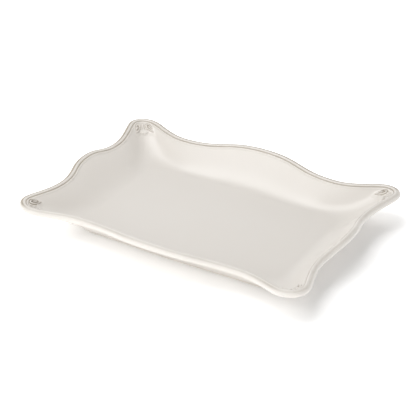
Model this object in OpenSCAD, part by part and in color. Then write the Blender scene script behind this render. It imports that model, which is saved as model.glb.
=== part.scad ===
// Rectangular serving platter in glazed china: a flat well, flared sides, a wavy reeded
// border and a scrolled relief in each corner. It is one fired piece, drawn as the clay
// parts that are luted together before firing.
// +Z is up, +X runs along the platter. The origin is the centre of the face it stands on.

/* [Overall] */
// Length over the corner lobes
overall_length = 432; // [340:1:530]
// Width over the corner lobes
overall_width = 303; // [240:1:370]

/* [Border outline] */
// How far the swell in the middle of a side stays inside the corner lobes
side_swell_short = 1.5; // [0:0.5:8]
// How far the hollows of a side stay inside the corner lobes
side_hollow_short = 18; // [6:0.5:26]
// Distance from an end of the platter to the hollow in a long side
side_hollow_in = 95; // [86:1:126]
// How far the swell in the middle of an end stays inside the corner lobes
end_swell_short = 5.5; // [0:0.5:10]
// How far the hollows of an end stay inside the corner lobes
end_hollow_short = 14.5; // [5:0.5:20]
// Distance from a long side of the platter to the hollow in an end
end_hollow_in = 87.5; // [76.5:0.5:111.5]
// Length of a corner lobe's round, measured along the platter
lobe_length = 24; // [16:1:32]
// Width of a corner lobe's round, measured across the platter
lobe_width = 19; // [14:1:28]

/* [Border height, to the top of the lip edge] */
// Middle of a side
side_swell_height = 45.5; // [34:0.5:60]
// Hollows of a side
side_hollow_height = 37.5; // [30:0.5:50]
// Corner lobes
corner_height = 43.5; // [34:0.5:60]
// Hollows of an end
end_hollow_height = 40.5; // [32:0.5:52]
// Middle of an end
end_swell_height = 47.5; // [36:0.5:62]

/* [Border moulding] */
// Radius of the rounded lip edge
edge_r = 3.8; // [3:0.1:5]
// Radius of the bead beside the lip edge
outer_bead_r = 2.4; // [2:0.1:3.2]
// Distance from the top of the lip edge in to the crown of that bead
outer_bead_in = 2.3; // [1.8:0.1:3]
// Height of that crown above the lip edge
outer_bead_rise = 0.5; // [0.2:0.1:0.8]
// Radius of the bead beside the wall
inner_bead_r = 1.9; // [1.6:0.1:2.3]
// Distance from the crown of the outer bead in to the crown of this one
inner_bead_in = 3.6; // [3.2:0.1:4]
// Fall from the one crown to the other
inner_bead_fall = 1.9; // [1.4:0.1:2.3]

/* [Well and foot] */
// How far the foot line stays inside the lobes, at the ends
foot_inset_ends = 53; // [46:0.5:60]
// How far the foot line stays inside the lobes, at the sides
foot_inset_sides = 50.5; // [44:0.5:58]
// Corner radius of the foot line
foot_corner_r = 38; // [30:1:46]
// Swell of the foot line in the middle of a side
foot_swell = 2.5; // [0:0.5:6]
// Height of the foot, which is the recess under the well
foot_height = 2; // [1:0.5:4]
// Width of the foot's resting face
foot_width = 6; // [4:0.5:9]
// Thickness of the well's floor
floor_thickness = 5; // [3.5:0.5:8]
// Distance from the foot line in to the edge of the flat floor
cove_width = 16; // [12:0.5:20]
// Thickness of the side wall under the border
wall_thickness = 5; // [4:0.5:7]

/* [Corner relief] */
// Distance between the eyes of the two scrolls
scroll_spacing = 16; // [14:0.5:20]
// Outer radius of a scroll
scroll_r = 6; // [4.5:0.5:7]
// Turn of a scroll, in degrees
scroll_turn = 430; // [300:10:540]
// Radius of the scroll's ridge where it starts
ridge_r = 1.6; // [1:0.1:2]
// Distance from the border to the eyes of the scrolls
scroll_drop = 6.5; // [6:0.5:12]
// Length of the fan's petals
petal_length = 5; // [4:0.5:10]
// Angle between neighbouring petals
petal_spread = 28; // [18:1:40]

/* [Hidden] */

glaze = [0.94, 0.92, 0.87];
bare_clay = [0.86, 0.82, 0.74];
wash = [0.80, 0.76, 0.69];

// Rings per stretch of a quarter outline: middle, hollow, lobe, lobe, hollow, middle
STEPS = [10, 7, 6, 6, 7];
STRAIGHT = 1 / 3;          // handle share for an even run
SOFT = 0.5;                // handle share for a gentle swell
LONG_REACH = 0.41;         // handle share where a hollow runs out to a lobe
SHORT_REACH = 0.2;        // handle share where that run meets the lobe
ROUND = 0.5523;            // handle share of a quarter circle
LOBE_RISE = 0.08;          // slope of the lip as it climbs on to a lobe
BEAD_FILLET = 0.3;         // the inner bead runs into the wall over this width
WALL_SLOPE = 40;           // slope of the wall where it meets the border
foot_setback = 1;          // the foot stands this far inside the foot line
cove_steps = 8;
flare_steps = 4;
ridge_sides = 7;
ridge_rings = 22;

floor_z = foot_height + floor_thickness;
lobe_x = overall_length / 2 - edge_r;
lobe_y = overall_width / 2 - edge_r;
side_hollow_at = overall_length / 2 - side_hollow_in;
end_hollow_at = overall_width / 2 - end_hollow_in;
foot_x = overall_length / 2 - foot_inset_ends;
foot_y = overall_width / 2 - foot_inset_sides;

// ---- outlines: each stop is [point, heading, handle share before, handle share after]

function cubic(a, b, c, d, t) =
    a * pow(1 - t, 3) + 3 * b * t * pow(1 - t, 2) + 3 * c * t * t * (1 - t) + d * pow(t, 3);

function run(a, b, heading) =
    abs((b.x - a.x) * heading.x + (b.y - a.y) * heading.y);

function stretch(a, b, t) =
    cubic(a[0], a[0] + a[1] * a[3] * run(a[0], b[0], a[1]),
          b[0] - b[1] * b[2] * run(a[0], b[0], b[1]), b[0], t);

// Point of a quarter outline at q, which counts stops and runs from 0 to 5
function at(stops, q) =
    let (i = min(floor(q), 4)) stretch(stops[i], stops[i + 1], q - i);

// Top of the lip edge, from the middle of the back side to the middle of the right end
LIP = [
    [[0, lobe_y - side_swell_short, side_swell_height], [1, 0, 0], SOFT, SOFT],
    [[side_hollow_at, lobe_y - side_hollow_short, side_hollow_height],
     [1, 0, 0], SOFT, LONG_REACH],
    [[lobe_x - lobe_length, lobe_y, corner_height - LOBE_RISE * lobe_length],
     [1, 0, LOBE_RISE], SHORT_REACH, ROUND],
    [[lobe_x, lobe_y - lobe_width, corner_height], [0, -1, 0], ROUND, SHORT_REACH],
    [[lobe_x - end_hollow_short, end_hollow_at, end_hollow_height],
     [0, -1, 0], LONG_REACH, SOFT],
    [[lobe_x - end_swell_short, 0, end_swell_height], [0, -1, 0], SOFT, SOFT]];

// Round-cornered oblong with swelling sides, an inset inside the foot line
function oblong(inset, z) =
    let (x = foot_x - inset, y = foot_y - inset, r = foot_corner_r - inset,
         x1 = side_hollow_at * (x - r) / (lobe_x - lobe_length),
         t = x1 / (x - r),
         swell = foot_swell * (1 + cos(180 * t)) / 2,
         slope = -foot_swell * PI / 2 * sin(180 * t) / (x - r),
         y1 = end_hollow_at * (y - r) / (lobe_y - lobe_width))
    [[[0, y + foot_swell, z], [1, 0, 0], STRAIGHT, STRAIGHT],
     [[x1, y + swell, z], [1, slope, 0], STRAIGHT, STRAIGHT],
     [[x - r, y, z], [1, 0, 0], STRAIGHT, ROUND],
     [[x, y - r, z], [0, -1, 0], ROUND, STRAIGHT],
     [[x, y1, z], [0, -1, 0], STRAIGHT, STRAIGHT],
     [[x, 0, z], [0, -1, 0], STRAIGHT, STRAIGHT]];

// Places of the rings in one quarter, both ends included
QUARTER = [for (i = [0:4]) for (k = [0:STEPS[i] - 1]) i + k / STEPS[i], 5];
LAST = len(QUARTER) - 1;

// Repeats a quarter's rows round the platter; a row is a list of points
function flip(row, sx, sy) = [for (p = row) [p.x * sx, p.y * sy, p.z]];
function all_round(rows) = [
    for (i = [0:LAST - 1]) flip(rows[i], 1, 1),
    for (i = [LAST:-1:1]) flip(rows[i], 1, -1),
    for (i = [0:LAST - 1]) flip(rows[i], -1, -1),
    for (i = [LAST:-1:1]) flip(rows[i], -1, 1)];

// ---- sections across the border and the wall

// Unit vector in plan, square to the lip and pointing into the platter
function inward(q) =
    let (e = 0.01, a = at(LIP, max(q - e, 0)), b = at(LIP, min(q + e, 5)),
         d = [b.x - a.x, b.y - a.y])
    [d.y, -d.x, 0] / norm(d);

// Point of the border, u in from the top of the lip edge and w above it
function border(q, uw) = at(LIP, q) + inward(q) * uw[0] + [0, 0, uw[1]];

// Where two circles cross, on the left of the way from a to b
function crossing(a, ra, b, rb) =
    let (d = norm(b - a), x = (d * d + ra * ra - rb * rb) / (2 * d), e = (b - a) / d)
    a + x * e + sqrt(ra * ra - x * x) * [-e.y, e.x];

function bearing(c, p) = atan2(p.y - c.y, p.x - c.x);

// Points of an arc, at the given shares of its turn
function arc(c, r, from, to, shares) =
    [for (s = shares) let (a = from + (to - from) * s) c + r * [cos(a), sin(a)]];

edge = [0, -edge_r];
outer_bead = [outer_bead_in, outer_bead_rise - outer_bead_r];
inner_bead = [outer_bead_in + inner_bead_in, outer_bead_rise - inner_bead_fall - inner_bead_r];
edge_groove = crossing(edge, edge_r, outer_bead, outer_bead_r);
bead_groove = crossing(outer_bead, outer_bead_r, inner_bead, inner_bead_r);
wall_top = inner_bead + [inner_bead_r + BEAD_FILLET, -2 * BEAD_FILLET];
wall_under = wall_top - wall_thickness * [sin(WALL_SLOPE), cos(WALL_SLOPE)];

BORDER_SECTION = concat(
    [wall_top],
    arc(inner_bead, inner_bead_r, 0, bearing(inner_bead, bead_groove), [0:0.25:1]),
    arc(outer_bead, outer_bead_r, bearing(outer_bead, bead_groove),
        bearing(outer_bead, edge_groove), [0.2:0.2:0.8]),
    arc(edge, edge_r, bearing(edge, edge_groove), 270, [0:0.125:1]),
    [wall_under]);

// Inside of the wall: level with the floor at t = 0, under the border at t = 1
FLOOR_EDGE = oblong(cove_width, floor_z);
function inside(q, t) =
    let (a = at(FLOOR_EDGE, q), d = border(q, wall_top), g = d - a)
    cubic(a, a + [0.38 * g.x, 0.38 * g.y, 0],
          a + [0.66 * g.x, 0.66 * g.y, 0.5 * g.z], d, t);

// Outside of the wall, from the border down to the foot line
FOOT_LINE = oblong(0, foot_height);
function outside(q, t) =
    let (a = border(q, wall_under), d = at(FOOT_LINE, q), g = a - d)
    cubic(a, d + [0.68 * g.x, 0.68 * g.y, 0.72 * g.z],
          d + [0.30 * g.x, 0.30 * g.y, 0.45 * g.z], d, t);

UNDER_FLOOR_EDGE = oblong(cove_width, foot_height);
function wall_section(q) = concat(
    [for (k = [0:cove_steps]) inside(q, k / cove_steps)],
    [for (k = [0:flare_steps]) outside(q, k / flare_steps)],
    [at(UNDER_FLOOR_EDGE, q)]);

// Closed band through rows of points, each row joined to the next and the last to the first
module band(rows) {
    n = len(rows);
    m = len(rows[0]);
    faces = [for (i = [0:n - 1]) for (j = [0:m - 1])
        let (a = i * m + j, b = i * m + (j + 1) % m,
             c = ((i + 1) % n) * m + (j + 1) % m, d = ((i + 1) % n) * m + j)
        each [[a, b, c], [a, c, d]]];
    polyhedron([for (r = rows) each r], faces);
}

function plan(stops) =
    [for (r = all_round([for (q = QUARTER) [at(stops, q)]])) [r[0].x, r[0].y]];

// ---- corner relief, laid on the inside of the wall

// Point on the wall, across the corner and down from the border
wall_run = norm(border(2.5, wall_top) - at(FLOOR_EDGE, 2.5));
function on_wall(across, down) =
    let (t = 1 - down / wall_run, lobe_arc = 1.11 * norm(inside(2, t) - inside(3, t)))
    inside(2.5 + across / lobe_arc, t);

function scroll_point(side, s) =
    let (r = scroll_r * (1 - 0.75 * s), a = -100 + scroll_turn * s)
    on_wall(side * (scroll_spacing / 2 - r * cos(a)), scroll_drop - r * sin(a));

module ridge(side) {
    path = [for (k = [0:ridge_rings]) scroll_point(side, k / ridge_rings)];
    rings = [for (k = [0:ridge_rings])
        let (t = path[min(k + 1, ridge_rings)] - path[max(k - 1, 0)],
             s = cross(t, [0, 0, 1]), u = cross(s, t),
             r = ridge_r * (1 - 0.4 * k / ridge_rings))
        [for (j = [0:ridge_sides - 1])
            path[k] + r * (cos(360 * j / ridge_sides) * s / norm(s)
                           + sin(360 * j / ridge_sides) * u / norm(u))]];
    sides = [for (k = [0:ridge_rings - 1]) for (j = [0:ridge_sides - 1])
        let (a = k * ridge_sides + j, b = k * ridge_sides + (j + 1) % ridge_sides)
        each [[a, b, b + ridge_sides], [a, b + ridge_sides, a + ridge_sides]]];
    near_end = [for (j = [ridge_sides - 1:-1:0]) j];
    far_end = [for (j = [0:ridge_sides - 1]) ridge_rings * ridge_sides + j];
    polyhedron([for (r = rings) each r], concat(sides, [near_end, far_end]));
}

module drop(from, to, r1, r2) {
    hull() {
        translate(from) sphere(r1, $fn = 10);
        translate(to) sphere(r2, $fn = 10);
    }
}

module corner_sprig(sx, sy) {
    heart = scroll_drop + scroll_r;
    color(wash) mirror([sx < 0 ? 1 : 0, 0, 0]) mirror([0, sy < 0 ? 1 : 0, 0]) {
        for (side = [-1, 1]) ridge(side);
        drop(on_wall(0, 3), on_wall(0, heart), 2.3, 2);
        for (k = [-1:1])
            drop(on_wall(k * 2, heart),
                 on_wall(petal_length * sin(k * petal_spread) + k * 2,
                         heart + petal_length * cos(k * petal_spread)), 1.3, 0.9);
    }
}

// ---- the pieces

module well() {
    color(glaze) translate([0, 0, foot_height])
        linear_extrude(floor_thickness) polygon(plan(FLOOR_EDGE));
}

module side_wall() {
    color(glaze) band(all_round([for (q = QUARTER) wall_section(q)]));
}

module border_moulding() {
    color(glaze) band(all_round([for (q = QUARTER)
        [for (uw = BORDER_SECTION) border(q, uw)]]));
}

module foot_ring() {
    color(bare_clay) linear_extrude(foot_height) difference() {
        polygon(plan(oblong(foot_setback, 0)));
        polygon(plan(oblong(foot_setback + foot_width, 0)));
    }
}

module corner_sprig_front_left() { corner_sprig(-1, -1); }
module corner_sprig_front_right() { corner_sprig(1, -1); }
module corner_sprig_back_left() { corner_sprig(-1, 1); }
module corner_sprig_back_right() { corner_sprig(1, 1); }

well();
side_wall();
border_moulding();
foot_ring();
corner_sprig_front_left();
corner_sprig_front_right();
corner_sprig_back_left();
corner_sprig_back_right();
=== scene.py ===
import math

import bpy
import numpy as np
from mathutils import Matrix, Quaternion, Vector


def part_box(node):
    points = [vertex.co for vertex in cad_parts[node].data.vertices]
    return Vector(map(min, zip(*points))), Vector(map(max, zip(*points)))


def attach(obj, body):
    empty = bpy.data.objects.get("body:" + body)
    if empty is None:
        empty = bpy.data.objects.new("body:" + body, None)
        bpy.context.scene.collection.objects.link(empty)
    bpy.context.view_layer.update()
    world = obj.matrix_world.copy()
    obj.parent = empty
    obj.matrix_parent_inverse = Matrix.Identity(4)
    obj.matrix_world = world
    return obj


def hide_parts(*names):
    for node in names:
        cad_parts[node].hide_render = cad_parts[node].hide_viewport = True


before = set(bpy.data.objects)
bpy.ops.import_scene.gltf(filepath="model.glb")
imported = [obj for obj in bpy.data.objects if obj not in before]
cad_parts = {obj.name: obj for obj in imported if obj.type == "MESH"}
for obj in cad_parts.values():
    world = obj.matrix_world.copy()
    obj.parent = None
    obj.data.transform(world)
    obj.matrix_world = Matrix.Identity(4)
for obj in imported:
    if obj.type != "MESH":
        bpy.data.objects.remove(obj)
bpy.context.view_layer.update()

mm = 0.001
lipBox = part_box("border_moulding")
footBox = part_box("foot_ring")
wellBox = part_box("well")


# shader helper: one class wraps a socket, so that maths on values reads as maths

class Sock:
    def __init__(self, shop, socket):
        self.shop = shop
        self.socket = socket

    def math(self, operation, *others, flip=False):
        values = [self, *others]
        if flip:
            values.reverse()
        return self.shop.node("ShaderNodeMath", {"operation": operation}, dict(enumerate(values)))

    def __add__(self, other):
        return self.math("ADD", other)

    def __radd__(self, other):
        return self.math("ADD", other)

    def __sub__(self, other):
        return self.math("SUBTRACT", other)

    def __rsub__(self, other):
        return self.math("SUBTRACT", other, flip=True)

    def __mul__(self, other):
        return self.math("MULTIPLY", other)

    def __rmul__(self, other):
        return self.math("MULTIPLY", other)

    def clamped(self):
        return self.math("MAXIMUM", 0.0).math("MINIMUM", 1.0)


class Shop:                   # makes the nodes of one material, or of the world
    def __init__(self, owner):
        self.owner = owner
        owner.use_nodes = True
        self.tree = owner.node_tree
        self.tree.nodes.clear()

    def node(self, kind, settings=None, inputs=None, out=0):
        made = self.tree.nodes.new(kind)
        for key, value in (settings or {}).items():
            if key == "stops":
                self.setStops(made.color_ramp.elements, value)
            else:
                setattr(made, key, value)
        for key, value in (inputs or {}).items():
            if isinstance(value, Sock):
                self.tree.links.new(value.socket, made.inputs[key])
            else:
                made.inputs[key].default_value = value
        return Sock(self, made.outputs[out]) if len(made.outputs) else made

    def setStops(self, elements, stops):
        while len(elements) < len(stops):
            elements.new(0.5)
        for element, (place, colour) in zip(elements, stops):
            element.position = place
            element.color = (*colour, 1.0)

    def mixColour(self, share, first, second):
        ends = [(*c, 1.0) if isinstance(c, tuple) else c for c in (first, second)]
        return self.node("ShaderNodeMix", {"data_type": "RGBA"},
                         {0: share, 6: ends[0], 7: ends[1]}, out=2)

    def noise(self, where, scale, detail=2.0, roughness=0.5):
        return self.node("ShaderNodeTexNoise", {"noise_dimensions": "3D"},
                         {"Vector": where, "Scale": scale, "Detail": detail,
                          "Roughness": roughness})

    def finish(self, shader, output="ShaderNodeOutputMaterial"):
        self.node(output, None, {"Surface": shader})
        return self.owner


# the platter's own outline: the lines of the part, in millimetres until a mesh is made

lip = {
    "edgeRadius": 3.8, "sideSwellShort": 1.5, "sideHollowShort": 18.0, "sideHollowAt": 121.0,
    "endSwellShort": 5.5, "endHollowShort": 14.5, "endHollowAt": 64.0,
    "lobeLength": 24.0, "lobeWidth": 19.0, "lobeRise": 0.08,
    "sideSwellFall": 2.5, "sideHollowFall": 10.5, "cornerFall": 4.5, "endHollowFall": 7.5,
    "endSwellFall": 0.5,
    "stations": 180,          # sections in a quarter of the outline
    "evening": 3.0,           # stations over which kinks are eased
}
foot = {"setback": 1.0, "width": 6.0, "cornerRadius": 38.0, "swell": 2.5, "coveWidth": 16.0}

lobeX = lipBox[1].x / mm - lip["edgeRadius"]
lobeY = lipBox[1].y / mm - lip["edgeRadius"]
rimTop = lipBox[1].z / mm
footX = footBox[1].x / mm + foot["setback"]
footY = footBox[1].y / mm + foot["setback"] - foot["swell"]
footTop = wellBox[0].z / mm
floorTop = wellBox[1].z / mm


quarterTurn = 0.5523          # length of the curve handles that make a quarter circle
evenRun = 1 / 3               # and of those that make a straight run


def vec(*numbers):
    return np.array(numbers, float)


def bezier(a, b, c, d, t):
    t = np.asarray(t)[..., None]
    return a * (1 - t) ** 3 + 3 * b * t * (1 - t) ** 2 + 3 * c * t * t * (1 - t) + d * t ** 3


def outline(stops, places):
    out = np.zeros((len(places), 3))
    for i in range(len(stops) - 1):
        (a, headA, beforeA, afterA), (b, headB, beforeB, afterB) = stops[i], stops[i + 1]
        runA, runB = abs(np.dot(b - a, headA)), abs(np.dot(b - a, headB))
        inHere = (places >= i) & (places <= i + 1)
        out[inHere] = bezier(a, a + headA * afterA * runA, b - headB * beforeB * runB, b,
                             places[inHere] - i)
    return out


def lipStops():
    s = lip
    across, along, level = vec(1, 0, 0), vec(0, -1, 0), rimTop
    soft, far, near = 0.5, 0.41, 0.2
    cornerZ = level - s["cornerFall"]
    return [
        (vec(0, lobeY - s["sideSwellShort"], level - s["sideSwellFall"]), across, soft, soft),
        (vec(s["sideHollowAt"], lobeY - s["sideHollowShort"], level - s["sideHollowFall"]),
         across, soft, far),
        (vec(lobeX - s["lobeLength"], lobeY, cornerZ - s["lobeRise"] * s["lobeLength"]),
         vec(1, 0, s["lobeRise"]), near, quarterTurn),
        (vec(lobeX, lobeY - s["lobeWidth"], cornerZ), along, quarterTurn, near),
        (vec(lobeX - s["endHollowShort"], s["endHollowAt"], level - s["endHollowFall"]),
         along, far, soft),
        (vec(lobeX - s["endSwellShort"], 0, level - s["endSwellFall"]), along, soft, soft)]


def footStops(inset, z):
    x, y, r = footX - inset, footY - inset, foot["cornerRadius"] - inset
    x1 = lip["sideHollowAt"] * (x - r) / (lobeX - lip["lobeLength"])
    y1 = lip["endHollowAt"] * (y - r) / (lobeY - lip["lobeWidth"])
    turn = math.pi * x1 / (x - r)
    swell = foot["swell"] * (1 + math.cos(turn)) / 2
    slope = -foot["swell"] * math.pi / 2 * math.sin(turn) / (x - r)
    across, along = vec(1, 0, 0), vec(0, -1, 0)
    return [(vec(0, y + foot["swell"], z), across, evenRun, evenRun),
            (vec(x1, y + swell, z), vec(1, slope, 0), evenRun, evenRun),
            (vec(x - r, y, z), across, evenRun, quarterTurn),
            (vec(x, y - r, z), along, quarterTurn, evenRun),
            (vec(x, y1, z), along, evenRun, evenRun),
            (vec(x, 0, z), along, evenRun, evenRun)]


def allRound(rows):           # a quarter's rows, both ends in, repeated round the platter
    flip = lambda part, sx, sy: part * vec(sx, sy, 1)
    return np.concatenate([flip(rows[:-1], 1, 1), flip(rows[:0:-1], 1, -1),
                           flip(rows[:-1], -1, -1), flip(rows[:0:-1], -1, 1)])


def smoothStep(x):
    x = np.clip(x, 0, 1)
    return x * x * (3 - 2 * x)


def gauss(reach):
    k = np.arange(-int(4 * reach) - 1, int(4 * reach) + 2)
    weights = np.exp(-0.5 * (k / reach) ** 2)
    return k, weights / weights.sum()


def blurred(field, reach, axes=(0, 1)):
    k, weights = gauss(reach)
    edge = -k[0]
    for axis in axes:
        pads = [(edge, edge) if a == axis else (0, 0) for a in range(field.ndim)]
        wide = np.pad(field, pads, mode="edge")
        spots = np.arange(field.shape[axis]) + edge
        field = sum(w * np.take(wide, spots + o, axis=axis) for o, w in zip(k, weights))
    return field


def eased(ring, reach):       # smooths a closed ring and gives back what smoothing takes off
    k, weights = gauss(reach)
    smooth = lambda r: sum(w * np.roll(r, s, axis=0) for s, w in zip(k, weights))
    return smooth(ring + (ring - smooth(ring)))


fine = np.linspace(0, 5, 2001)
fineLip = outline(lipStops(), fine)
travel = np.concatenate([[0], np.cumsum(np.linalg.norm(np.diff(fineLip, axis=0), axis=1))])
places = np.interp(np.linspace(0, travel[-1], lip["stations"] + 1), travel, fine)
lipRing = eased(allRound(outline(lipStops(), places)), lip["evening"])
floorRing = eased(allRound(outline(footStops(foot["coveWidth"], floorTop), places)),
                  lip["evening"])
footRing = eased(allRound(outline(footStops(0, footTop), places)), lip["evening"])
heading = np.roll(lipRing, -1, 0) - np.roll(lipRing, 1, 0)
inwardRing = np.stack([heading[:, 1], -heading[:, 0], 0 * heading[:, 0]], 1)
inwardRing /= np.linalg.norm(inwardRing, axis=1)[:, None]
print("outline", len(lipRing), "sections,", round(travel[-1] * 4), "mm round the lip")


# the section from the floor up the wall, over the border and down to the foot line

border = {
    "edge": (0.0, -3.8, 3.8),         # in from the lip's top, above it, radius
    "outerBead": (2.3, -1.9, 2.4),
    "innerBead": (5.9, -3.3, 1.9),
    "wallTop": (8.1, -3.9), "wallThickness": 5.0, "wallSlope": 40.0,
    "step": 0.28,             # spacing of the section's points over the beads
    "softness": 1.1,          # steps over which the glaze rounds a groove
    "beyond": 9,              # points past the border at which the rounding ends
    "fade": 5,                # points over which it fades out
}
wallCurve = {
    "insideLow": (0.38, 0.38, 0.0), "insideHigh": (0.66, 0.66, 0.5),      # handles, as shares
    "outsideLow": (0.30, 0.30, 0.45), "outsideHigh": (0.68, 0.68, 0.72),
    "points": 60, "finePoints": 14,     # up the inside, the fine ones next to the border
    "fineSpread": 0.82,       # the smaller, the wider the fine points are spaced
}


def crossing(first, second):
    a, b = vec(*first[:2]), vec(*second[:2])
    gap = np.linalg.norm(b - a)
    x = (gap * gap + first[2] ** 2 - second[2] ** 2) / (2 * gap)
    e = (b - a) / gap
    return a + x * e + math.sqrt(first[2] ** 2 - x * x) * vec(-e[1], e[0])


def arcPoints(circle, start, end, step):
    a0 = math.atan2(start[1] - circle[1], start[0] - circle[0])
    a1 = math.atan2(end[1] - circle[1], end[0] - circle[0])
    while a1 < a0:
        a1 += 2 * math.pi
    turns = np.linspace(a0, a1, max(3, int(circle[2] * (a1 - a0) / step) + 1))
    return np.stack([circle[0] + circle[2] * np.cos(turns),
                     circle[1] + circle[2] * np.sin(turns)], 1)


edgeGroove = crossing(border["edge"], border["outerBead"])
beadGroove = crossing(border["outerBead"], border["innerBead"])
wallTop = vec(*border["wallTop"])
tilt = math.radians(border["wallSlope"])
wallUnder = wallTop - border["wallThickness"] * vec(math.sin(tilt), math.cos(tilt))
beadFoot = vec(border["innerBead"][0] + border["innerBead"][2] * math.cos(0.1),
               border["innerBead"][1] + border["innerBead"][2] * math.sin(0.1))
edgeUnder = vec(border["edge"][0], border["edge"][1] - border["edge"][2])


def sectionPoints():
    step = border["step"]
    toEdge = arcPoints(border["edge"], edgeGroove, edgeUnder, step)
    parts = [wallTop[None], arcPoints(border["innerBead"], beadFoot, beadGroove, step),
             arcPoints(border["outerBead"], beadGroove, edgeGroove, step)[1:], toEdge[1:]]
    gap = np.linalg.norm(wallUnder - edgeUnder)
    shares = np.linspace(0, 1, int(gap / step) + 1)[1:, None]
    parts.append(edgeUnder + (wallUnder - edgeUnder) * shares)
    return np.concatenate(parts)


def onBorder(u, w):
    return lipRing + inwardRing * u + vec(0, 0, w)


def insideWall(t):            # rows for each t, from the floor's edge to the border
    a, d = floorRing, onBorder(*wallTop)
    g = d - a
    low, high = (a + g * vec(*wallCurve[key]) for key in ("insideLow", "insideHigh"))
    return np.stack([bezier(a, low, high, d, np.full(len(a), one)) for one in t], 1)


def outsideWall(t):
    a, d = onBorder(*wallUnder), footRing
    g = a - d
    low, high = (d + g * vec(*wallCurve[key]) for key in ("outsideLow", "outsideHigh"))
    return np.stack([bezier(a, high, low, d, np.full(len(a), one)) for one in t], 1)


wallReach = float(np.median(np.linalg.norm(onBorder(*wallTop) - floorRing, axis=1)))
fineStep = border["step"] / (wallReach * wallCurve["fineSpread"])
nearTop = 1 - np.arange(wallCurve["finePoints"], 0, -1) * fineStep
wallShares = np.concatenate([np.linspace(0, nearTop[0], wallCurve["points"] + 1)[:-1], nearTop])
underShares = np.concatenate([np.arange(1, 12) * 0.008, np.linspace(0.1, 1, 25)])
section = sectionPoints()
insideRows = insideWall(wallShares)
borderRows = np.stack([onBorder(u, w) for u, w in section], 1)
outsideRows = outsideWall(underShares)
rows = np.concatenate([insideRows, borderRows, outsideRows], 1)
borderStart = insideRows.shape[1]
borderEnd = borderStart + borderRows.shape[1] - 1

rounded = blurred(rows, border["softness"], axes=(1,))
place = np.arange(rows.shape[1])
first, last = borderStart - border["beyond"], borderEnd + border["beyond"]
share = (np.clip((place - first) / border["fade"], 0, 1)
         * np.clip((last - place) / border["fade"], 0, 1))
rows = rows + (rounded - rows) * share[None, :, None]
print("section", rows.shape[1], "points, border from", borderStart, "to", borderEnd)


def gridNormals(grid):        # a closed ring of open rows
    along = np.roll(grid, -1, 0) - np.roll(grid, 1, 0)
    across = np.gradient(grid, axis=1)
    n = np.cross(across, along)
    return n / np.linalg.norm(n, axis=2)[:, :, None]


rowNormals = gridNormals(rows)
if rowNormals[0, 5, 2] < 0:
    rowNormals = -rowNormals


# meshes: points in millimetres come in, metres go out

def makeMesh(name, points, faces, normals=None, attributes=None, smooth=True):
    mesh = bpy.data.meshes.new(name)
    mesh.from_pydata((np.asarray(points) * mm).tolist(), [], faces)
    mesh.polygons.foreach_set("use_smooth", [smooth] * len(mesh.polygons))
    for key, values in (attributes or {}).items():
        layer = mesh.attributes.new(key, "FLOAT", "POINT")
        layer.data.foreach_set("value", np.asarray(values, np.float32))
    mesh.update()
    if normals is not None:
        mesh.normals_split_custom_set(normals)
    piece = bpy.data.objects.new(name, mesh)
    bpy.context.scene.collection.objects.link(piece)
    return piece


def closedBand(name, grid, normals, hiddenColumns, attributes=None):
    # rows run round the platter and close, and so do the columns round the section; the
    # columns named lie inside the clay, where the piece meets its neighbour, and are flat
    n, m = grid.shape[:2]
    i, j = np.meshgrid(np.arange(n), np.arange(m), indexing="ij")
    i2, j2 = (i + 1) % n, (j + 1) % m
    quads = np.stack([i * m + j, i * m + j2, i2 * m + j2, i2 * m + j], 2).reshape(-1, 4)
    points, soft = grid.reshape(-1, 3), normals.reshape(-1, 3)
    flat = np.cross(points[quads[:, 2]] - points[quads[:, 0]],
                    points[quads[:, 3]] - points[quads[:, 1]])
    flat /= np.maximum(np.linalg.norm(flat, axis=1), 1e-12)[:, None]
    shown = ~np.isin(j.ravel(), hiddenColumns)
    if np.einsum("ij,ij->i", flat[shown], soft[quads[shown, 0]]).mean() < 0:
        quads, flat = quads[:, ::-1], -flat
    loops = np.where(shown[:, None, None], soft[quads], np.repeat(flat[:, None], 4, 1))
    return makeMesh(name, points, quads.tolist(), loops.reshape(-1, 3).tolist(), attributes)


def placed(piece, node, material):
    piece.data.materials.append(material)
    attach(piece, "root")
    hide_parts(node)
    return piece


# glaze and clay

glaze = {
    "colour": (0.742, 0.706, 0.660), "thin": (0.712, 0.670, 0.612),
    "wash": (0.330, 0.275, 0.200), "washDeep": (0.150, 0.112, 0.072),
    "roughness": 0.40, "coat": 0.55, "coatRoughness": 0.34, "ior": 1.5,
    "toneScale": 14.0, "toneDepth": 0.18, "waveScale": 22.0, "waveDepth": 0.00035,
    "peelScale": 420.0, "peelDepth": 0.000006,
    "speckScale": 260.0, "speckShare": 0.10,
    "patchScale": 55.0, "grainScale": 340.0,      # of the brown wash
}


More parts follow.
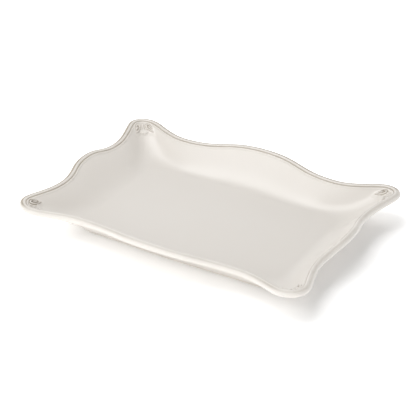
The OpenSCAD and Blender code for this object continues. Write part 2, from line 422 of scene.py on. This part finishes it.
def glazedChina(name, washed):
    s = glaze
    shop = Shop(bpy.data.materials.new(name))
    where = shop.node("ShaderNodeTexCoord", None, None, out=3)
    tone = shop.noise(where, s["toneScale"], 3.0, 0.55)
    thin = ((tone - 0.42) * 3.0).clamped() * s["toneDepth"]
    body = shop.mixColour(thin, s["colour"], s["thin"])
    specks = shop.node("ShaderNodeTexVoronoi", {"feature": "F1"},
                       {"Vector": where, "Scale": s["speckScale"]})
    dots = ((0.11 - specks) * 14.0).clamped() * s["speckShare"]
    body = shop.mixColour(dots, body, s["wash"])
    wave = shop.noise(where, s["waveScale"], 1.0, 0.4)
    peel = shop.noise(where, s["peelScale"], 2.0, 0.5)
    rough = s["roughness"] + (tone - 0.5) * 0.10
    if washed:
        laid = shop.node("ShaderNodeAttribute", {"attribute_name": "wash"}, None, out=2)
        patchy = shop.noise(where, s["patchScale"], 3.0, 0.6)
        grain = shop.noise(where, s["grainScale"], 2.0, 0.6)
        amount = (laid * (0.62 + patchy * 0.62) * (0.72 + grain * 0.5)).clamped()
        body = shop.mixColour((amount * 1.25).clamped(), body, s["wash"])
        body = shop.mixColour(((amount - 0.72) * 2.2).clamped(), body, s["washDeep"])
        rough = rough + amount * 0.12
    height = wave * (s["waveDepth"] / s["peelDepth"]) + peel
    bump = shop.node("ShaderNodeBump", None,
                     {"Strength": 1.0, "Distance": s["peelDepth"], "Height": height})
    shader = shop.node("ShaderNodeBsdfPrincipled", None, {
        "Base Color": body, "Roughness": rough, "Normal": bump, "IOR": s["ior"],
        "Coat Weight": s["coat"], "Coat Roughness": s["coatRoughness"]})
    return shop.finish(shader)


clay = {"colour": (0.82, 0.77, 0.69), "dust": (0.68, 0.62, 0.53), "roughness": 0.85,
        "grainScale": 900.0, "grainDepth": 0.00006, "patchScale": 30.0}


def bareClay(name):
    s = clay
    shop = Shop(bpy.data.materials.new(name))
    where = shop.node("ShaderNodeTexCoord", None, None, out=3)
    grain = shop.noise(where, s["grainScale"], 4.0, 0.7)
    patch = shop.noise(where, s["patchScale"], 3.0, 0.6)
    dirty = ((patch - 0.45) * 2.5).clamped() * 0.5 + grain * 0.2
    colour = shop.mixColour(dirty.clamped(), s["colour"], s["dust"])
    bump = shop.node("ShaderNodeBump", None,
                     {"Strength": 0.7, "Distance": s["grainDepth"], "Height": grain})
    shader = shop.node("ShaderNodeBsdfPrincipled", None, {
        "Base Color": colour, "Roughness": s["roughness"] + (grain - 0.5) * 0.2,
        "Normal": bump})
    return shop.finish(shader)


plainGlaze = glazedChina("china_glaze", False)
washedGlaze = glazedChina("china_glaze_washed", True)
bareFoot = bareClay("bare_foot_clay")
print("glaze and clay mixed")


# the side wall: shown inside and outside, hidden where it meets the border and the well

underEdge = floorRing * vec(1, 1, 0) + vec(0, 0, footTop)


def sideWall():
    inside, outside = slice(0, borderStart + 1), slice(borderEnd, rows.shape[1])
    grid = np.concatenate([rows[:, inside], rows[:, outside], underEdge[:, None]], 1)
    normals = np.concatenate([rowNormals[:, inside], rowNormals[:, outside],
                              0 * underEdge[:, None]], 1)
    underBorder, last = borderStart, grid.shape[1] - 1
    return closedBand("glazed_side_wall", grid, normals, [underBorder, last - 1, last])


placed(sideWall(), "side_wall", plainGlaze)


# the border, with the brown wash lying in its grooves

wash = {"crest": (-0.2, 0.0), "crestLine": 0.80, "crestWidth": 1.15,
        "beadLine": 0.74, "beadWidth": 0.90, "wallLine": 0.10, "wallWidth": 0.50,
        "beadTint": 0.03, "beadsAbove": -5.0,
        "thinnerToward": (0.8, -0.6),           # the wash is laid thinner on the sides that face this way, to this share of the others
        "thinnerShare": 0.30,                  # to this share of the others
        "thinnerFrom": 0.50, "thinnerOver": 0.60}


def borderBand():
    part = slice(borderStart, borderEnd + 1)
    lines = [(vec(*wash["crest"]), "crestLine", "crestWidth"),
             (beadGroove, "beadLine", "beadWidth"), (wallTop, "wallLine", "wallWidth")]
    laid = np.zeros(len(section))
    for groove, amount, width in lines:
        away = np.linalg.norm(section - groove, axis=1)
        laid = np.maximum(laid, wash[amount] * np.exp(-0.5 * (away / wash[width]) ** 2))
    onBeads = (section[:, 0] > edgeGroove[0]) & (section[:, 1] > wash["beadsAbove"])
    laid = np.maximum(laid, wash["beadTint"] * onBeads)
    inwardness = inwardRing[:, :2] @ vec(*wash["thinnerToward"])
    fullShare = smoothStep((inwardness + wash["thinnerFrom"]) / wash["thinnerOver"])
    laid = laid[None, :] * (wash["thinnerShare"] + (1 - wash["thinnerShare"]) * fullShare)[:, None]
    return closedBand("glazed_border", rows[:, part], rowNormals[:, part],
                      [borderEnd - borderStart], {"wash": laid.ravel()})


placed(borderBand(), "border_moulding", washedGlaze)
print("wall and border made")


# the well: a flat slab, closed beneath; its faint unevenness lies in the glaze

wellRings = 39                # from the edge to the middle


def wellPiece():
    shares = np.linspace(1, 0, wellRings + 1)[:-1]
    n, m = len(floorRing), len(shares)
    top = np.concatenate([floorRing * vec(s, s, 1) for s in shares])
    under = np.concatenate([underEdge * vec(s, s, 1) for s in shares])
    points = np.concatenate([top, under, [[0, 0, floorTop], [0, 0, footTop]]])
    faces = []
    for base, centre, order in ((0, 2 * n * m, 1), (n * m, 2 * n * m + 1, -1)):
        for i in range(n):
            i2 = (i + 1) % n
            for r in range(m - 1):
                a, b = base + r * n, base + (r + 1) * n
                faces.append([a + i, a + i2, b + i2, b + i][::order])
            b = base + (m - 1) * n
            faces.append([b + i, b + i2, centre][::order])
    faces += [[i, n * m + i, n * m + (i + 1) % n, (i + 1) % n] for i in range(n)]
    if np.cross(points[0], points[1])[2] < 0:     # the rings run clockwise: turn every face
        faces = [face[::-1] for face in faces]
    return makeMesh("glazed_well", points, faces, smooth=False)


placed(wellPiece(), "well", plainGlaze)


# the foot ring, ground flat and left bare

footEdge = {"bevel": 0.7, "bevelPoints": 5}


def footPiece():
    outer, inner = (allRound(outline(footStops(foot["setback"] + across, 0), places))
                    for across in (0, foot["width"]))
    middle, half = (outer + inner) / 2, (outer - inner) / 2
    turns = np.linspace(0, math.pi / 2, footEdge["bevelPoints"])
    b = footEdge["bevel"]
    side = [(1 - b * (1 - math.cos(t)) / (foot["width"] / 2), b * (1 - math.sin(t)))
            for t in turns]
    path = [(1.0, footTop), *side, *[(-s, z) for s, z in side[::-1]], (-1.0, footTop)]
    grid = np.stack([middle + half * s + vec(0, 0, z) for s, z in path], 1)
    return closedBand("ground_foot_ring", grid, -gridNormals(grid), [len(path) - 1])


placed(footPiece(), "foot_ring", bareFoot)
print("well and foot made")


# the corner reliefs: a pressed sprig of two scrolls and a small fan, thick in the middle
# and feathered to nothing at its border, with wash left in its hollows

relief = {
    "spacing": 21.5,          # between the scrolls' eyes
    "drop": 4.5,              # from the border down to the eyes
    "scrollRadius": 7.4, "scrollFrom": -115.0, "scrollTurn": 400.0, "scrollEnd": 0.24,
    "ridge": 1.45, "height": 2.0, "eye": 1.9,
    "tailFrom": 3.5, "tailReach": 13.5, "tailDrop": 7.6, "tailWidth": 1.0, "tailHeight": 0.6,
    "stemTop": 1.6, "stemWidth": 1.5, "stemHeight": 1.25,
    "petals": 5, "petalSpread": 25.0, "petalLength": 7.0, "petalWidth": 1.5, "petalHeight": 0.95,
    "padTop": 0.2, "padLow": 1.1, "padOver": 13.0,     # thickness at the border and below it
    "padAcross": 23.0, "padMiddle": 6.5, "padDown": 16.0, "padPower": 2.6,
    "padDip": 0.12, "sink": 1.0,        # edge and underside, below the wall's surface
    "grid": 0.26, "halfWidth": 25.0, "depth": 26.0,
    "fadeUp": 3.6, "fadeOver": 1.6,     # where the relief dies away over the bead
    "overBead": 12,           # points by which the pad climbs over the inner bead
    "melt": 0.9,              # grid steps by which the glaze softens the relief
    "washHollow": 2.6, "washMost": 0.9, "washThin": 0.04, "washSpread": 3.0,
    "washLowFrom": 3.0, "washLowOver": 9.0, "washLowLess": 0.8,
    # the wash in the hollows is real; its strength per corner is partly painted shade at the
    # front left and painted light at the back left
    "washShadeScale": {"front_left": 1.3, "front_right": 0.8, "back_left": 0.62, "back_right": 0.72},
}


def nearPath(points, path, radii, heights):
    # height of a rounded ridge along a path, at each point
    best = np.zeros(len(points))
    for a, b, ra, rb, ha, hb in zip(path[:-1], path[1:], radii[:-1], radii[1:],
                                    heights[:-1], heights[1:]):
        ab = b - a
        t = np.clip(((points - a) @ ab) / (ab @ ab), 0, 1)
        away = np.linalg.norm(points - a - t[:, None] * ab, axis=1)
        r, h = ra + (rb - ra) * t, ha + (hb - ha) * t
        inside = np.clip(1 - (away / r) ** 2, 0, None)
        best = np.maximum(best, h * np.sqrt(inside))
    return best


def reliefHeight(across, down):
    s = relief
    points = np.stack([across, down], 1)
    height = np.zeros(len(points))
    for side in (-1, 1):
        t = np.linspace(0, 1, 46)
        turn = np.radians(s["scrollFrom"] + s["scrollTurn"] * t)
        r = s["scrollRadius"] * (1 - (1 - s["scrollEnd"]) * t ** 0.9)
        path = np.stack([side * (s["spacing"] / 2 - r * np.cos(turn)),
                         s["drop"] - r * np.sin(turn)], 1)
        height = np.maximum(height, nearPath(points, path, s["ridge"] * (1 - 0.35 * t),
                                             s["height"] * (1 - 0.25 * t)))
        eye = np.array([[side * s["spacing"] / 2, s["drop"]]] * 2) + [[0, 0], [0.01, 0]]
        height = np.maximum(height, nearPath(points, eye, [s["eye"]] * 2, [s["height"]] * 2))
        tailT = np.linspace(0, 1, 14)
        tail = np.stack([side * (s["tailFrom"] + s["tailReach"] * tailT),
                         s["drop"] + s["tailDrop"] + 3.2 * tailT - 7.0 * tailT ** 2], 1)
        height = np.maximum(height, nearPath(points, tail, s["tailWidth"] * (1 - 0.7 * tailT),
                                             s["tailHeight"] * (1 - 0.5 * tailT)))
    heart = s["drop"] + s["scrollRadius"]
    stemT = np.linspace(0, 1, 10)
    stem = np.stack([0 * stemT, s["stemTop"] + (heart - s["stemTop"]) * stemT], 1)
    height = np.maximum(height, nearPath(points, stem, s["stemWidth"] - 0.5 * stemT,
                                         s["stemHeight"] + 0 * stemT))
    middle = (s["petals"] - 1) / 2
    for k in range(s["petals"]):
        a = math.radians((k - middle) * s["petalSpread"])
        reach = s["petalLength"] * (1 - 0.10 * abs(k - middle))
        t = np.linspace(0, 1, 8)
        petal = np.stack([math.sin(a) * (1.0 + reach * t), heart - 1 + math.cos(a) *
                          (1.0 + reach * t)], 1)
        width = s["petalWidth"] * (0.45 + 0.75 * np.sin(math.pi * (0.18 + 0.62 * t)))
        height = np.maximum(height, nearPath(points, petal, width, s["petalHeight"] + 0 * t))
    return height


def reliefPad(across, down):
    s = relief
    x = across / s["padAcross"]
    y = (down - s["padMiddle"]) / s["padDown"]
    power = s["padPower"]
    wave = 0.035 * np.cos(9 * np.arctan2(across, down - 2))
    reach = (np.abs(x) ** power + np.abs(y) ** power) ** (1 / power)
    return smoothStep((1 + wave - reach) * 2.4)


def readAt(grid, fi, fj):       # a smooth reading of a grid between its points
    for axis, spots in ((0, fi), (1, fj)):
        low = np.clip(np.floor(spots).astype(int), 1, grid.shape[axis] - 3)
        t = (spots - low).reshape((-1, 1, 1) if axis == 0 else (1, -1, 1))
        p0, p1, p2, p3 = (np.take(grid, low + k, axis=axis) for k in (-1, 0, 1, 2))
        grid = p1 + 0.5 * t * (p2 - p0 + t * (2 * p0 - 5 * p1 + 4 * p2 - p3
                                              + t * (3 * (p1 - p2) + p3 - p0)))
    return grid


def cornerPatch():
    # a fine grid on the back right corner of the wall, with its own two rulers:
    # across, along the wall each way from the corner's middle, and down from the border
    s = relief
    lobe = int(np.argmin(np.abs(places - 2.5)))
    top = borderStart + s["overBead"]
    column = rows[lobe, :top + 1]
    fallen = np.concatenate([[0], np.cumsum(np.linalg.norm(np.diff(column, axis=0), axis=1))])
    fallen = fallen[-1] - fallen
    fj = np.interp(-np.arange(s["depth"], 0, -s["grid"]), -fallen, np.arange(top + 1))
    ringStep = np.linalg.norm(rows[lobe + 1, borderStart] - rows[lobe - 1, borderStart]) / 2
    reach = s["halfWidth"] / ringStep
    fi = np.arange(lobe - reach, lobe + reach, s["grid"] / ringStep)
    spots = readAt(rows[:, :top + 4], fi, fj)
    ups = readAt(rowNormals[:, :top + 4], fi, fj)
    ups /= np.linalg.norm(ups, axis=2)[:, :, None]
    middle = int(np.argmin(np.abs(fi - lobe)))
    steps = np.linalg.norm(np.diff(spots, axis=0), axis=2)
    across = np.concatenate([np.zeros((1, len(fj))), np.cumsum(steps, axis=0)])
    across -= across[middle]
    border = int(np.argmin(np.abs(fj - borderStart)))
    falls = np.linalg.norm(np.diff(spots, axis=1), axis=2)
    down = np.concatenate([np.zeros((len(fi), 1)), np.cumsum(falls, axis=1)], 1)
    down = down[:, border:border + 1] - down
    return across, down, spots, ups


def reliefGrids():
    s = relief
    across, down, spots, ups = cornerPatch()
    shape = across.shape
    raised = reliefHeight(across.ravel(), down.ravel()).reshape(shape)
    raised = blurred(raised, s["melt"]) * smoothStep((down + s["fadeUp"]) / s["fadeOver"])
    pad = reliefPad(across, down)
    wedge = s["padTop"] + (s["padLow"] - s["padTop"]) * np.clip(down / s["padOver"], 0, 1)
    height = raised * smoothStep(pad * 2) + wedge * pad - s["padDip"] * (1 - pad)
    hollow = np.clip(blurred(raised, s["washSpread"]) - raised, 0, 1)
    low = smoothStep((down - s["drop"] - s["washLowFrom"]) / s["washLowOver"])
    laid = hollow * s["washHollow"] * (1 - s["washLowLess"] * low)
    laid = np.clip(laid, 0, s["washMost"]) * smoothStep(pad * 2)
    return spots, ups, height, np.maximum(laid, s["washThin"] * pad)


def cornerRelief(name, sx, sy, washShadeScale, made):
    spots, ups, height, laid = made
    nx, ny = height.shape
    topPoints = (spots + ups * height[:, :, None]) * vec(sx, sy, 1)
    lowPoints = (spots - ups * relief["sink"]) * vec(sx, sy, 1)
    points = np.concatenate([topPoints.reshape(-1, 3), lowPoints.reshape(-1, 3)])
    i, j = np.meshgrid(np.arange(nx - 1), np.arange(ny - 1), indexing="ij")
    base = (i * ny + j).ravel()
    quads = np.stack([base, base + ny, base + ny + 1, base + 1], 1)
    under = quads[:, ::-1] + nx * ny
    rim = [k * ny for k in range(nx)] + [(nx - 1) * ny + k for k in range(1, ny)] \
        + [k * ny + ny - 1 for k in range(nx - 2, -1, -1)] + list(range(ny - 2, 0, -1))
    walls = [[a, a + nx * ny, b + nx * ny, b] for a, b in zip(rim, rim[1:] + rim[:1])]
    faces = quads.tolist() + under.tolist() + walls
    corner = points[quads[0]]
    facing = np.cross(corner[1] - corner[0], corner[2] - corner[0])
    if np.dot(facing, ups[0, 0] * vec(sx, sy, 1)) < 0:
        faces = [face[::-1] for face in faces]
    # the hollows' wash, scaled by the corner's share of painted shade and light
    piece = makeMesh(name, points, faces, None,
                     {"wash": np.concatenate([laid.ravel() * washShadeScale, np.zeros(nx * ny)])})
    return placed(piece, name.replace("corner_relief", "corner_sprig"),
                  washedGlaze)


reliefMade = reliefGrids()
for name, sx, sy in (("corner_relief_front_left", -1, -1), ("corner_relief_front_right", 1, -1),
                     ("corner_relief_back_left", -1, 1), ("corner_relief_back_right", 1, 1)):
    # each corner's wash strength, partly painted shade and light
    washShadeScale = relief["washShadeScale"][name.removeprefix("corner_relief_")]
    cornerRelief(name, sx, sy, washShadeScale, reliefMade)
print("corner reliefs made")


# floor, light and camera

studio = {
    "floorColour": (0.97, 0.97, 0.97), "floorMottle": (0.80, 0.80, 0.79), "floorSize": 6.0,
    # painted shadow: the floor glows, less round the platter than further out and less again to
    # its right, which keeps its shadow tight
    "glowNear": 0.06, "glowFar": 0.46, "glowOver": 0.060,
    "glowMiddle": (0.036, -0.002), "glowHalf": (0.168, 0.105),
    "zenith": 0.26, "horizon": 1.50,
    "keyPower": 12.9, "keySize": 1.1, "keyFrom": (-0.42, -0.12, 1.46),
    "fillPower": 10.2, "fillSize": 1.8, "fillFrom": (-0.3, -1.9, 1.1),
}


def studioFloor():
    s = studio
    half = s["floorSize"] / 2
    mesh = bpy.data.meshes.new("studio_floor")
    low = -0.0002             # just under the foot, so that the two never share a plane
    mesh.from_pydata([(-half, -half, low), (half, -half, low), (half, half, low),
                      (-half, half, low)], [], [(0, 1, 2, 3)])
    floor = bpy.data.objects.new("studio_floor", mesh)
    bpy.context.scene.collection.objects.link(floor)
    shop = Shop(bpy.data.materials.new("studio_floor_paper"))
    where = shop.node("ShaderNodeTexCoord", None, None, out=3)
    mottle = shop.noise(where, 3.0, 2.0, 0.5)
    colour = shop.mixColour(mottle * 0.04, s["floorColour"], s["floorMottle"])
    sides = [shop.node("ShaderNodeSeparateXYZ", None, {"Vector": where}, out=k) for k in (0, 1)]
    # painted shadow: the glow is dimmest in a box round the platter, set off to its right
    past = [((side - middle).math("ABSOLUTE") - reach).math("MAXIMUM", 0.0)
            for side, middle, reach in zip(sides, s["glowMiddle"], s["glowHalf"])]
    lit = ((past[0] * past[0] + past[1] * past[1]).math("SQRT") * (1 / s["glowOver"])).clamped()
    glow = shop.mixColour(lit, (s["glowNear"],) * 3, (s["glowFar"],) * 3)
    shader = shop.node("ShaderNodeBsdfPrincipled", None, {
        "Base Color": colour, "Roughness": 0.9, "Specular IOR Level": 0.0,
        "Emission Color": glow, "Emission Strength": 1.0})
    mesh.materials.append(shop.finish(shader))


def softbox(name, power, size, place, aim=(0, 0, 0)):
    lamp = bpy.data.lights.new(name, "AREA")
    lamp.shape = "SQUARE"
    lamp.size = size
    lamp.energy = power
    holder = bpy.data.objects.new(name, lamp)
    bpy.context.scene.collection.objects.link(holder)
    holder.location = place
    holder.rotation_mode = "QUATERNION"
    holder.rotation_quaternion = (Vector(aim) - Vector(place)).to_track_quat("-Z", "Y")
    return holder


def roomLight():              # a light tent, brighter low down than overhead
    world = bpy.data.worlds.new("studio_room")
    bpy.context.scene.world = world
    shop = Shop(world)
    top, low = studio["zenith"], studio["horizon"]
    levels = [(0.0, low), (0.25, low * 0.62 + top * 0.38), (0.6, low * 0.14 + top * 0.86),
              (1.0, top)]
    where = shop.node("ShaderNodeTexCoord")
    height = shop.node("ShaderNodeSeparateXYZ", None, {"Vector": where}, out=2)
    sky = shop.node("ShaderNodeValToRGB", {"stops": [(at, (v, v, v)) for at, v in levels]},
                    {0: height})
    shop.finish(shop.node("ShaderNodeBackground", None, {"Color": sky}), "ShaderNodeOutputWorld")


studioFloor()
roomLight()
softbox("key_softbox", studio["keyPower"], studio["keySize"], studio["keyFrom"])
softbox("front_fill", studio["fillPower"], studio["fillSize"], studio["fillFrom"])
bpy.context.scene.view_settings.view_transform = "Standard"
bpy.context.scene.view_settings.look = "None"

shot = {"azimuth": 31.65, "elevation": 30.68, "roll": -0.66, "distance": 1.9153,
        "target": (-0.0249, 0.0334, 0.0), "lens": 120.64}


def takeView():
    s = shot
    camera = bpy.data.cameras.new("view")
    camera.lens = s["lens"]
    camera.sensor_width = 36.0
    camera.clip_start, camera.clip_end = 0.05, 30.0
    holder = bpy.data.objects.new("view", camera)
    bpy.context.scene.collection.objects.link(holder)
    a, e = math.radians(s["azimuth"]), math.radians(s["elevation"])
    back = Vector((math.sin(a) * math.cos(e), -math.cos(a) * math.cos(e), math.sin(e)))
    holder.location = Vector(s["target"]) + back * s["distance"]
    holder.rotation_mode = "QUATERNION"
    aim = (-back).to_track_quat("-Z", "Y")
    holder.rotation_quaternion = aim @ Quaternion((0, 0, 1), math.radians(s["roll"]))
    bpy.context.scene.camera = holder


takeView()
bpy.context.view_layer.update()
